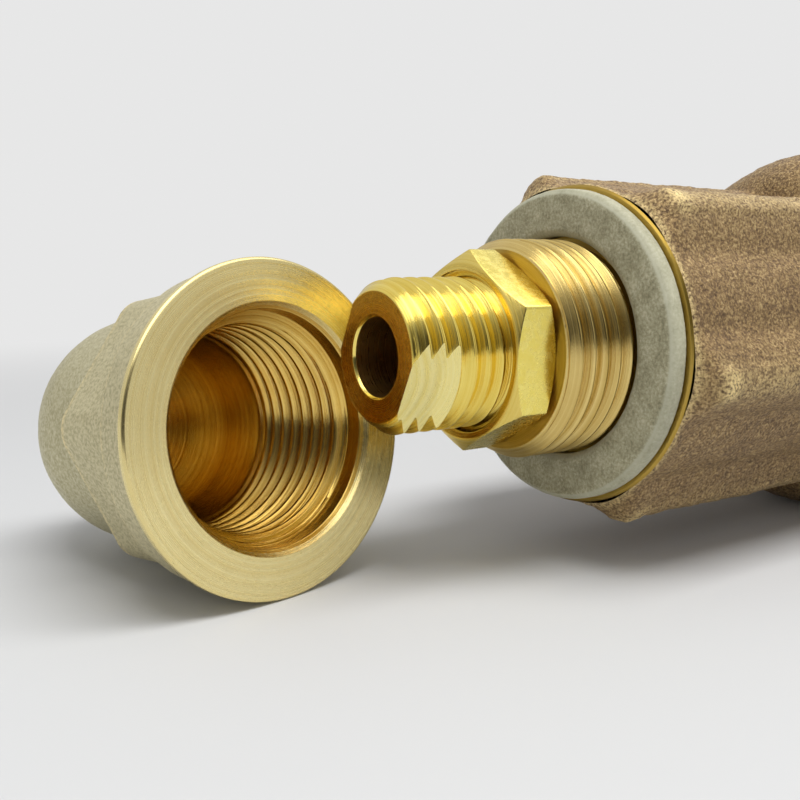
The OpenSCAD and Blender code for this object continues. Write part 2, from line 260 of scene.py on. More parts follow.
def with_flats(theta, af, turn, corner=0.3, dip=0.0, sides=6):
    """Radius at each angle of a polygon with rounded corners, for its distance across flats."""
    half = math.pi / sides
    a = (theta - math.radians(turn)) % (2 * half)
    a = np.minimum(a, 2 * half - a)                 # angle from the nearest corner
    flat = (af / 2 - dip * (1 - ((half - a) / half) ** 2)) / np.cos(half - a)
    centre = (af / 2 - corner) / math.cos(half)
    inside = corner**2 - (centre * np.sin(a)) ** 2
    arc = centre * np.cos(a) + np.sqrt(np.maximum(inside, 0))
    edge = math.atan2(corner * math.sin(half), centre + corner * math.cos(half))
    return np.where(a < edge, arc, flat)


def hex_angles(turn, cols=COLS, corner_deg=3.0):
    """Angles with extra points close to the corners of a hexagon."""
    beside = np.linspace(-corner_deg, corner_deg, 9)
    fine = [math.radians(turn + 60 * k + d) for k in range(6) for d in beside]
    coarse = [math.radians(turn + 360 * k / cols) for k in range(cols)]
    coarse = [c for c in coarse if abs((math.degrees(c) - turn + 30) % 60 - 30) > corner_deg + 0.3]
    return np.array(sorted(a % TAU for a in fine + coarse))


def smooth_max(a, b, k):
    h = np.clip(0.5 + 0.5 * (a - b) / k, 0, 1)
    return b * (1 - h) + a * h + k * h * (1 - h)


def smoothstep(x, lo, hi):
    t = np.clip((x - lo) / (hi - lo), 0, 1)
    return t * t * (3 - 2 * t)


def vertices_of(mesh):
    """The vertices in millimetres, rows of three."""
    co = np.zeros(len(mesh.vertices) * 3)
    mesh.vertices.foreach_get("co", co)
    return co.reshape(-1, 3) / MM


def roughen(obj, marks, layers, fade=None, seed=0.0, largest=None):
    """Moves the vertices inside the faces with these marks along their normals by layered noise,
    and keeps them within the largest radius."""
    mesh = obj.data
    co = vertices_of(mesh)
    normals = np.zeros(len(co) * 3)
    mesh.vertex_normals.foreach_get("vector", normals)
    loops = np.zeros(len(mesh.loops), np.int32)
    mesh.loops.foreach_get("vertex_index", loops)
    sizes = np.zeros(len(mesh.polygons), np.int32)
    mesh.polygons.foreach_get("loop_total", sizes)
    kinds = np.zeros(len(mesh.polygons), np.int32)
    mesh.polygons.foreach_get("material_index", kinds)
    chosen = np.isin(np.repeat(kinds, sizes), list(marks))
    inside = np.zeros(len(co), bool)
    inside[loops[chosen]] = True
    inside[loops[~chosen]] = False
    amount = np.zeros(len(co))
    shift = Vector((seed, seed * 2, 7.0))
    for i in np.nonzero(inside)[0]:
        p = Vector(co[i])
        amount[i] = sum(noise.noise(p / size + shift) * height for size, height in layers)
    if fade:
        amount *= fade(co)
    co += normals.reshape(-1, 3) * amount[:, None]
    if largest:
        r = np.hypot(co[:, 0], co[:, 1])
        co[:, :2] *= np.minimum(1, largest / np.maximum(r, 1e-6))[:, None]
    mesh.vertices.foreach_set("co", (co * MM).ravel())
    mesh.update()


# ---------------------------------------------------------------- materials

def shader(name):
    material = bpy.data.materials.new(name)
    material.use_nodes = True
    nodes, links = material.node_tree.nodes, material.node_tree.links
    return material, nodes, links, nodes["Principled BSDF"]


class Graph:
    """Short calls for building a node tree."""

    def __init__(self, name):
        self.material, self.nodes, self.links, self.bsdf = shader(name)
        self.where = self.nodes.new("ShaderNodeTexCoord").outputs["Object"]

    def math(self, op, a, b=None):
        node = self.nodes.new("ShaderNodeMath")
        node.operation = op
        for socket, value in zip(node.inputs, (a, b)):
            if value is None:
                continue
            if isinstance(value, (int, float)):
                socket.default_value = value
            else:
                self.links.new(value, socket)
        return node.outputs[0]

    def noise(self, scale, detail=2.0, rough=0.5, one_d=None):
        node = self.nodes.new("ShaderNodeTexNoise")
        node.inputs["Scale"].default_value = scale
        node.inputs["Detail"].default_value = detail
        node.inputs["Roughness"].default_value = rough
        if one_d is not None:
            node.noise_dimensions = "1D"
            self.links.new(one_d, node.inputs["W"])
        else:
            self.links.new(self.where, node.inputs["Vector"])
        return node.outputs["Fac"]

    def ramp(self, value, stops):
        node = self.nodes.new("ShaderNodeValToRGB")
        band = node.color_ramp
        while len(band.elements) < len(stops):
            band.elements.new(0.5)
        for element, (at, colour) in zip(band.elements, stops):
            element.position = at
            element.color = (*colour, 1)
        self.links.new(value, node.inputs["Fac"])
        return node.outputs["Color"]

    def span(self, value, lo, hi, to_lo=0.0, to_hi=1.0):
        node = self.nodes.new("ShaderNodeMapRange")
        node.interpolation_type = "SMOOTHSTEP"
        for key, number in (("From Min", lo), ("From Max", hi), ("To Min", to_lo), ("To Max", to_hi)):
            node.inputs[key].default_value = number
        self.links.new(value, node.inputs["Value"])
        return node.outputs["Result"]

    def mix(self, share, a, b):
        node = self.nodes.new("ShaderNodeMix")
        node.data_type = "RGBA"
        for socket, value in ((node.inputs[0], share), (node.inputs[6], a), (node.inputs[7], b)):
            if isinstance(value, (int, float)):
                socket.default_value = value
            elif isinstance(value, tuple):
                socket.default_value = (*value, 1)
            else:
                self.links.new(value, socket)
        return node.outputs[2]

    def xyz(self):
        node = self.nodes.new("ShaderNodeSeparateXYZ")
        self.links.new(self.where, node.inputs[0])
        return node.outputs[0], node.outputs[1], node.outputs[2]

    def radius(self):
        x, y, z = self.xyz()
        squares = self.math("ADD", self.math("MULTIPLY", x, x), self.math("MULTIPLY", y, y))
        return self.math("SQRT", squares), z

    def attribute(self, name):
        node = self.nodes.new("ShaderNodeAttribute")
        node.attribute_name = name
        return node.outputs["Fac"]

    def bump(self, height, distance, strength=1.0, after=None):
        node = self.nodes.new("ShaderNodeBump")
        node.inputs["Distance"].default_value = distance
        node.inputs["Strength"].default_value = strength
        self.links.new(height, node.inputs["Height"])
        if after is not None:
            self.links.new(after, node.inputs["Normal"])
        return node.outputs["Normal"]

    def set(self, **sockets):
        names = {"colour": "Base Color", "rough": "Roughness", "metal": "Metallic", "normal": "Normal",
                 "aniso": "Anisotropic", "turn": "Anisotropic Rotation", "tangent": "Tangent",
                 "level": "Specular IOR Level"}
        for key, value in sockets.items():
            socket = self.bsdf.inputs[names[key]]
            if isinstance(value, (int, float)):
                socket.default_value = value
            elif isinstance(value, tuple):
                socket.default_value = (*value, 1)
            else:
                self.links.new(value, socket)
        return self.material


def turned(name, light, dark, rough=0.24, ring=0.0012, aniso=0.5, stain=0.25, ring_tone=0.5, rough_swing=0.1):
    """Turned metal: rings of fine tool marks about local Z, and a faint uneven tarnish."""
    g = Graph(name)
    r, z = g.radius()
    along = g.math("ADD", r, g.math("MULTIPLY", z, 0.83))
    rings = g.noise(9000, 2.0, 0.7, one_d=along)
    broad = g.noise(1600, 2.0, 0.5, one_d=along)
    blotch = g.noise(160, 3.0, 0.6)
    spots = g.noise(900, 2.0, 0.5)
    marks = g.math("ADD", g.math("MULTIPLY", rings, ring_tone), g.math("MULTIPLY", broad, 1 - ring_tone))
    tone = g.math("ADD", g.math("MULTIPLY", marks, 0.75), g.math("MULTIPLY", blotch, stain))
    colour = g.ramp(tone, [(0.32, dark), (0.62, light)])
    g.set(colour=colour, metal=1.0,
          rough=g.span(g.math("ADD", g.math("MULTIPLY", spots, 0.4), g.math("MULTIPLY", rings, 0.6)),
                       0.3, 0.7, rough - rough_swing / 2, rough + rough_swing / 2))
    if aniso:
        tangent = g.nodes.new("ShaderNodeTangent")
        tangent.direction_type, tangent.axis = "RADIAL", "Z"
        g.set(aniso=aniso, turn=0.25, tangent=tangent.outputs[0])
    normal = g.bump(rings, ring * 0.02, 0.6)
    normal = g.bump(broad, ring * 0.06, 0.5, normal)
    return g.set(normal=normal)


def cast(name, stops, rough=0.62, metal=0.75, grain=2300, relief=0.00012, worn=(0.8, 0.62, 0.3), patchy=0.16):
    """Sand-cast metal: sharp grains of lighter and darker metal, with worn high spots; on the cap the worn
    colour also serves as painted highlight along its edges.
    """
    g = Graph(name)
    fine = g.noise(grain, 3.0, 0.62)
    grains = g.noise(grain * 0.42, 2.0, 0.55)
    patch = g.noise(95, 3.0, 0.6)
    mixed = g.math("ADD", g.math("MULTIPLY", fine, 0.68), g.math("MULTIPLY", grains, 0.32 - patchy))
    tone = g.math("ADD", mixed, g.math("MULTIPLY", patch, patchy))
    colour = g.ramp(tone, stops)
    wear = g.attribute("wear")
    share = g.math("MULTIPLY", wear, g.span(fine, 0.3, 0.6))
    colour = g.mix(share, colour, worn)
    g.set(colour=colour, metal=metal, rough=g.span(fine, 0.3, 0.7, rough + 0.1, rough - 0.12))
    pits = g.noise(grain * 0.55, 4.0, 0.7)
    normal = g.bump(pits, relief, 0.9)
    normal = g.bump(fine, relief * 0.6, 0.9, normal)
    return g.set(normal=normal)


flange_brass = turned("flange_brass", (0.91, 0.79, 0.40), (0.79, 0.63, 0.26),
                      rough=0.25, aniso=0.6, stain=0.2)
# a darker, more orange copy of the cap's brass for the inside of its bore: painted shade and dark reflection
# in the hollow
shaded_bore_brass = turned("shaded_bore_brass", (0.85, 0.62, 0.19), (0.62, 0.38, 0.07),
                    rough=0.18, aniso=0.3, ring_tone=0.3)
screw_brass = turned("screw_brass", (0.93, 0.75, 0.20), (0.80, 0.57, 0.09),
                     rough=0.15, aniso=0.4, rough_swing=0.06)
nut_brass = turned("nut_brass", (0.88, 0.72, 0.24), (0.74, 0.54, 0.11),
                   rough=0.2, aniso=0.3, stain=0.1, rough_swing=0.06)
boss_brass = turned("boss_brass", (0.76, 0.58, 0.22), (0.52, 0.35, 0.085),
                    rough=0.22, aniso=0.25, ring_tone=0.25)
seat_brass = turned("seat_brass", (0.54, 0.37, 0.085), (0.36, 0.23, 0.04), rough=0.36, aniso=0.4)
plain_brass = turned("plain_brass", (0.74, 0.60, 0.33), (0.56, 0.42, 0.19), rough=0.32, aniso=0.4)
# grey cast metal of the cap; its worn colour also serves as painted highlight along the cap's edges
cap_cast = cast("cap_cast",
                [(0.38, (0.45, 0.405, 0.24)), (0.48, (0.53, 0.485, 0.30)), (0.60, (0.62, 0.575, 0.38))],
                rough=0.5, metal=0.8, grain=2600, relief=0.00006, worn=(0.84, 0.70, 0.36), patchy=0.1)
bronze_cast = cast("bronze_cast", [(0.37, (0.125, 0.074, 0.038)), (0.45, (0.205, 0.128, 0.060)),
                                   (0.52, (0.31, 0.200, 0.084)), (0.63, (0.54, 0.385, 0.18))],
                   rough=0.5, metal=0.5, grain=3000, relief=0.00026, worn=(0.92, 0.72, 0.34), patchy=0.10)


def fibre_material():
    g = Graph("fibre")
    r, z = g.radius()
    fine = g.noise(2600, 3.0, 0.7)
    mottle = g.noise(420, 3.0, 0.6)
    tone = g.math("ADD", g.math("MULTIPLY", fine, 0.6), g.math("MULTIPLY", mottle, 0.4))
    stops = [(0.36, (0.23, 0.215, 0.13)), (0.5, (0.375, 0.355, 0.235)), (0.64, (0.55, 0.53, 0.38))]
    colour = g.ramp(tone, stops)
    edge = g.attribute("wear")
    colour = g.mix(g.math("MULTIPLY", edge, g.span(mottle, 0.2, 0.5, 0.6, 1.0)), colour, (0.46, 0.45, 0.33))
    g.set(colour=colour, metal=0.0, rough=g.span(fine, 0.3, 0.7, 0.72, 0.5), level=0.35)
    return g.set(normal=g.bump(tone, 0.00005, 0.8))


def plain_material(name, light, dark, rough, metal=0.0):
    g = Graph(name)
    fine = g.noise(1200, 3.0, 0.6)
    colour = g.ramp(fine, [(0.35, dark), (0.65, light)])
    g.set(colour=colour, metal=metal, rough=g.span(fine, 0.3, 0.7, rough - 0.05, rough + 0.05))
    return g.set(normal=g.bump(fine, 0.00002, 0.4))


fibre = fibre_material()
steel = turned("steel", (0.62, 0.62, 0.60), (0.48, 0.48, 0.47), rough=0.25, aniso=0.3)
spring_steel = turned("spring_steel", (0.34, 0.35, 0.37), (0.22, 0.23, 0.25), rough=0.32, aniso=0.3)
ptfe = plain_material("ptfe", (0.86, 0.86, 0.84), (0.78, 0.78, 0.76), 0.45)
copper = plain_material("copper", (0.80, 0.44, 0.28), (0.62, 0.32, 0.19), 0.32, metal=1.0)

for node, material in (
    ("thrust_washer", steel), ("spindle", steel), ("thrust_ball", steel), ("disc_holder", steel),
    ("seal_retainer", steel), ("seal_screw", steel), ("plate_clip", spring_steel),
    ("upper_spring_plate", plain_brass), ("lower_spring_plate", plain_brass), ("guide_plate", plain_brass),
    ("disc_seal", ptfe),
):
    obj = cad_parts[node]
    obj.data.materials.clear()
    obj.data.materials.append(material)


# ---------------------------------------------------------------- the loose cap

CAP_COLLAR_R = 19.15
CAP_MINOR_R = 12.42
CAP_MAJOR_R = 13.6
CAP_CAVITY_R = 12.0
CAP_DOME_R = 14.9
CAP_DOME_Z = -25.2
CAP_COLLAR_END = -6.2
CAP_HEX_TURN = 23
THREAD_TOP, THREAD_END = -2.9, -18.4
CAST, TURNED, BORE = 0, 1, 2

theta = angles(360)
cap = Skin()
cap_hex = with_flats(theta, 31.4, CAP_HEX_TURN, corner=4.2)
dome = [(CAP_DOME_Z - CAP_DOME_R * math.sin(a), CAP_DOME_R * math.cos(a), 0, CAST)
        for a in np.linspace(0, math.pi / 2, 60)[1:-1]]
add_profile(cap, [
    (0, 14.7, 0, TURNED), (0, 19.5, 0.12, TURNED), (-0.28, CAP_FLANGE_R, 0.12, TURNED),
    (-1.0, CAP_FLANGE_R, 0.15, TURNED), (-1.35, CAP_COLLAR_R - 0.15, 0.15, CAST),
    (-1.7, CAP_COLLAR_R + 0.05, 0.3, CAST), (CAP_COLLAR_END + 0.05, 18.85, 0.25, CAST),
    (CAP_COLLAR_END - 0.3, cap_hex + 0.4, 0.3, CAST), (-17.45, cap_hex + 0.05, 0.3, CAST),
    (-17.8, CAP_DOME_R + 0.08, 0.35, CAST),
    (CAP_DOME_Z, CAP_DOME_R, 0, CAST), *dome, (CAP_DOME_Z - CAP_DOME_R, 0, 0, CAST)],
    theta, step=0.32, arc=5)

# one pitch of the cap's thread: a broad crest, sloping flanks and a narrow root
groove = [(0.0, CAP_MINOR_R), (0.13, CAP_MINOR_R + 0.01), (0.17, CAP_MINOR_R + 0.06),
          (0.52, CAP_MAJOR_R - 0.08), (0.56, CAP_MAJOR_R), (0.60, CAP_MAJOR_R),
          (0.64, CAP_MAJOR_R - 0.08), (0.97, CAP_MINOR_R + 0.03)]


def cap_lead(z):
    """Chamfer at the mouth end of the cap's thread."""
    return CAP_MINOR_R + np.maximum(0, z + 4.0) * 1.3


def cap_groove_depth(z):
    """The groove fades out over its last pitch."""
    return smoothstep(z, THREAD_END, THREAD_END + 1.6)


def add_cap_thread():
    """The cap's internal thread; gives the radii at its outer end."""
    phases = np.array([p for p, _ in groove])
    radii = np.array([r for _, r in groove])
    rows_at = np.array(sorted(set(list(phases) + [0.07, 0.26, 0.35, 0.44, 0.72, 0.80, 0.89])))
    start = THREAD_END - 1.2 * PITCH
    turns = int(math.ceil((THREAD_TOP - start) / PITCH + 1.2))
    heights = (start + PITCH * (np.arange(turns)[:, None] + rows_at[None, :])).reshape(-1)
    z = np.clip(heights[:, None] + PITCH * theta[None, :] / TAU, THREAD_END, THREAD_TOP)
    phase = (z - PITCH * theta[None, :] / TAU - start) / PITCH % 1
    r = np.interp(phase, phases, radii, period=1)
    r = CAP_MINOR_R + (r - CAP_MINOR_R) * cap_groove_depth(z)
    r = np.maximum(r, cap_lead(z))
    cap.helix(len(heights), len(theta), len(rows_at), polar(z, r, theta), BORE)
    top = (THREAD_TOP - PITCH * theta / TAU - start) / PITCH % 1
    top = np.maximum(np.interp(top, phases, radii, period=1), cap_lead(np.full_like(theta, THREAD_TOP)))
    return top


top_ring = add_cap_thread()
add_profile(cap, [(0, 14.7, 0, TURNED), (-0.55, 14.25, 0.1, BORE), (-0.9, 13.85, 0.1, BORE),
                  (THREAD_TOP, 13.85, 0, BORE), (THREAD_TOP, top_ring, 0, BORE)], theta)
inner_dome = [(CAP_DOME_Z - CAP_CAVITY_R * math.sin(a), CAP_CAVITY_R * math.cos(a), 0, BORE)
              for a in np.linspace(0, math.pi / 2, 40)[1:-1]]
add_profile(cap, [(THREAD_END, CAP_MINOR_R, 0, BORE), (THREAD_END - 0.5, CAP_CAVITY_R, 0.3, BORE),
                  (CAP_DOME_Z, CAP_CAVITY_R, 0, BORE), *inner_dome,
                  (CAP_DOME_Z - CAP_CAVITY_R, 0, 0, BORE)], theta, step=0.6)
cap_piece = cap.build("cap_shell", cap_frame(), [cap_cast, flange_brass, shaded_bore_brass])
roughen(cap_piece, {CAST}, [(9.0, 0.06), (2.2, 0.035), (0.8, 0.02)], seed=3.0)


def paint_wear_and_highlight(obj, value):
    """Stores how worn each vertex is, from its place in the piece's own frame; on the cap these values also
    carry painted highlight along its edges.
    """
    attribute = obj.data.attributes.new("wear", "FLOAT", "POINT")
    attribute.data.foreach_set("value", np.clip(value(vertices_of(obj.data)), 0, 1).astype(np.float32))


# Rubbed edges of the cap, brighter along the collar step, behind the flange and round the rim of the hexagon:
# partly wear, partly painted highlight lines.
def cap_wear_and_edge_highlights(p):
    z = p[:, 2]
    corner = (np.arctan2(p[:, 1], p[:, 0]) - math.radians(CAP_HEX_TURN - 30)) % (math.pi / 3) - math.pi / 6
    hexagonal = smoothstep(z, -17.9, -17.2) * (z < 0)
    # bright lines at the collar step and behind the flange: painted highlight as well as rubbing
    worn_and_lit_edges = np.exp(-((z - CAP_COLLAR_END) / 0.3) ** 2) + np.exp(-((z + 1.7) / 0.25) ** 2)
    rim = np.exp(-((z + 17.2) / 0.5) ** 2)
    return 0.2 * hexagonal + 1.0 * worn_and_lit_edges + (0.45 + 0.3 * np.exp(-((corner / 0.2) ** 2))) * rim


paint_wear_and_highlight(cap_piece, cap_wear_and_edge_highlights)
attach(cap_piece, "cap")
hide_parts("cap")


# ---------------------------------------------------------------- gasket

def gasket():
    skin = Skin()
    t = angles(COLS)
    wave = 0.05 * np.sin(3 * t + 1) + 0.03 * np.sin(7 * t) + 0.02 * np.sin(17 * t + 2)
    inner, outer, thick = 13.75, 19.6, 2.4
    add_profile(skin, [
        (1.2, inner, 0, 0), (0.55, inner, 0.3, 0), (0, inner + 0.75 + wave, 0.35, 0),
        (0, outer - 0.68 + wave, 0.35, 0),
        (0.6, outer, 0.35, 0), (thick - 0.3, outer, 0.3, 0), (thick, outer - 0.4, 0.2, 0),
        (thick, inner + 0.3, 0.2, 0), (thick - 0.3, inner, 0.1, 0), (1.2, inner, 0, 0)], t, step=0.5, arc=6)
    obj = skin.build("fibre_gasket", valve_frame(0), [fibre], sharp=60)
    roughen(obj, {0}, [(5.0, 0.05), (1.1, 0.025), (0.5, 0.012)], seed=11.0)

    def wear(p):
        r = np.hypot(p[:, 0], p[:, 1])
        outer_band = smoothstep(r, outer - 0.8, outer - 0.5)
        outer_band *= 1 - 0.4 * smoothstep(r, outer - 0.6, outer - 0.2)
        inner_band = 1 - smoothstep(r, inner + 0.45, inner + 0.95)
        return np.maximum(outer_band, inner_band * 0.65) * (p[:, 2] < 1.9)

    paint_wear_and_highlight(obj, wear)
    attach(obj, "cap_gasket")
    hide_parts("cap_gasket")


gasket()


# ---------------------------------------------------------------- adjusting screw

SCREW_OUT, SCREW_LEN = 26.6, 42.6
SCREW_R, SCREW_ROOT, SCREW_TIP_R, SCREW_BORE = 8.9, 7.8, 7.5, 4.5


def external_form(crest, root):
    """One pitch of an external thread: narrow crest, straight flanks, rounded root."""
    d = crest - root
    return [(0.0, crest - 0.03 * d), (0.03, crest), (0.10, crest), (0.13, crest - 0.03 * d),
            (0.46, root + 0.10 * d), (0.50, root + 0.02 * d), (0.565, root), (0.63, root + 0.02 * d),
            (0.67, root + 0.10 * d)]


def cut(obj, cutters):
    """Cuts closed meshes out of obj, and applies the result."""
    for cutter in cutters:
        modifier = obj.modifiers.new("cut", "BOOLEAN")
        modifier.operation, modifier.solver, modifier.object = "DIFFERENCE", "EXACT", cutter
        bpy.context.view_layer.update()
        result = bpy.data.meshes.new_from_object(obj.evaluated_get(bpy.context.evaluated_depsgraph_get()))
        obj.modifiers.clear()
        old, obj.data = obj.data, result
        bpy.data.meshes.remove(old)
    for cutter in cutters:
        bpy.data.objects.remove(cutter)
    bm = bmesh.new()
    bm.from_mesh(obj.data)
    bmesh.ops.remove_doubles(bm, verts=bm.verts, dist=1e-6)
    bm.to_mesh(obj.data)
    bm.free()


def prism(name, outline, depth, matrix, material):
    """A closed bar with this outline of (x, z) points, from y = -depth to depth."""
    bm = bmesh.new()
    near = [bm.verts.new((x * MM, -depth * MM, z * MM)) for x, z in outline]
    far = [bm.verts.new((x * MM, depth * MM, z * MM)) for x, z in outline]
    bm.faces.new(near)
    bm.faces.new(far[::-1])
    for i in range(len(outline)):
        j = (i + 1) % len(outline)
        bm.faces.new((near[i], far[i], far[j], near[j]))
    bmesh.ops.recalc_face_normals(bm, faces=bm.faces)
    mesh = bpy.data.meshes.new(name)
    bm.to_mesh(mesh)
    bm.free()
    mesh.materials.append(material)
    obj = bpy.data.objects.new(name, mesh)
    bpy.context.scene.collection.objects.link(obj)
    obj.matrix_world = matrix
    return obj


# a darker, orange copy of the screw's brass for its end face: painted dark reflection
screw_face_dark_reflection = turned("screw_face_dark_reflection", (0.82, 0.50, 0.09), (0.62, 0.33, 0.035), rough=0.26, aniso=0.7)
# a darker copy of the screw's brass for the inside of its hole: painted shade
shaded_screw_bore = turned("shaded_screw_bore", (0.66, 0.42, 0.13), (0.48, 0.28, 0.07), rough=0.3, aniso=0.3)
screw_flat = turned("screw_flat", (0.93, 0.82, 0.36), (0.86, 0.72, 0.24),
                    rough=0.3, aniso=0.0, ring_tone=0.2)


def adjusting_screw():
    t = angles(COLS)
    skin = Skin()
    form = external_form(SCREW_R, SCREW_ROOT)

    def limit(z):
        return np.minimum(SCREW_TIP_R + z, SCREW_TIP_R + 0.2 + (SCREW_LEN - z))

    add_thread(skin, 0.12, SCREW_LEN, form, limit, t, mark=0)
    last = end_radii(SCREW_LEN, 0.12, form, limit, t)
    add_profile(skin, [(0.12, SCREW_TIP_R + 0.12, 0, 0), (0, SCREW_TIP_R - 0.08, 0.08, 1),
                       (0, SCREW_BORE + 0.28, 0.06, 0), (0.28, SCREW_BORE, 0.1, 2),
                       (SCREW_LEN - 0.4, SCREW_BORE, 0.1, 0),
                       (SCREW_LEN, SCREW_BORE + 0.4, 0, 0), (SCREW_LEN, last, 0, 0)], t, step=1.5)
    materials = [screw_brass, screw_face_dark_reflection, shaded_screw_bore, screw_flat]
    obj = skin.build("hollow_screw", valve_frame(-SCREW_OUT), materials, sharp=24)
    flat, rise_from, radius = 6.8, 4.2, 2.6
    arc = [(flat + radius - radius * math.cos(a), rise_from + radius * math.sin(a))
           for a in np.linspace(0, math.radians(84), 14)]
    outline = [(flat, -1.0), *arc, (12.0, arc[-1][1] + 0.2), (12.0, -1.0)]
    cutters = []
    for side in (0, 180):
        turn = Matrix.Rotation(math.radians(27 + 90 + side), 4, "Z")
        cutters.append(prism("flat", outline, 12.0, obj.matrix_world @ turn, screw_flat))
    cut(obj, cutters)
    finish_mesh(obj.data, 24)
    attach(obj, "adjusting_screw")
    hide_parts("adjusting_screw")


adjusting_screw()


# ---------------------------------------------------------------- lock nut

def chamfered_hex(name, matrix, af, z0, z1, hole, face_r, slope, turn, marks, materials, back_face_r):
    """A hexagonal ring with a turned chamfer on its front and back. slope is in degrees."""
    corner, bore_chamfer = 0.25, 0.7
    t = hex_angles(turn)
    skin = Skin()
    h = with_flats(t, af, turn, corner=corner)
    rise = math.tan(math.radians(slope))
    front = z0 + np.maximum(h - face_r, 0.05) * rise
    back = z1 - np.maximum(h - back_face_r, 0.05) * rise
    face, side, bore = marks
    add_profile(skin, [
        (z0 + bore_chamfer, hole, 0, bore), (z0, hole + bore_chamfer, 0.08, face),
        (z0, np.minimum(face_r, h - 0.05), 0.12, face), (front, h, 0.12, side), (back, h, 0.12, face),
        (z1, np.minimum(back_face_r, h - 0.05), 0.1, face), (z1, hole + bore_chamfer, 0.08, bore),
        (z1 - bore_chamfer, hole, 0.05, bore), (z0 + bore_chamfer, hole, 0, bore)], t)
    return skin.build(name, matrix, materials, sharp=50)


NUT_FRONT, NUT_AF, NUT_T, NUT_HOLE, NUT_TURN = -14.7, 21.0, 5.7, 8.97, 32 + 90
nut_side = plain_material("nut_side", (0.92, 0.78, 0.22), (0.85, 0.69, 0.15), 0.26, metal=1.0)
nut = chamfered_hex("nut", valve_frame(NUT_FRONT), NUT_AF, 0, NUT_T, NUT_HOLE, 10.35, 30, NUT_TURN, (0, 1, 0),
                    [nut_brass, nut_side], back_face_r=10.4)
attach(nut, "lock_nut")
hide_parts("lock_nut")


# ---------------------------------------------------------------- bonnet

BOSS_R, BOSS_ROOT, BOSS_LEN = 13.4, 12.35, 9.0
SEAT_Z, SEAT_R = 2.4, 20.2
BONNET_AF, RIDGE_R, FACE_DIP, RIDGE_TURN = 40.6, 4.0, 0.55, 8 + 90
BARREL_R, SHOULDER_FROM, BONNET_END = 28.0, 46.5, 60.0
SPIGOT_R, SPIGOT_END, ROOM_R = 21.9, 67.0, 16.5


def shoulder(z):
    share = np.clip((BONNET_END - z) / (BONNET_END - SHOULDER_FROM), 0, 1)
    rise = 19.5 + (BARREL_R - 19.5) * (1 - share**2.4) ** (1 / 2.4)
    return np.where(z > SHOULDER_FROM, rise, 10)


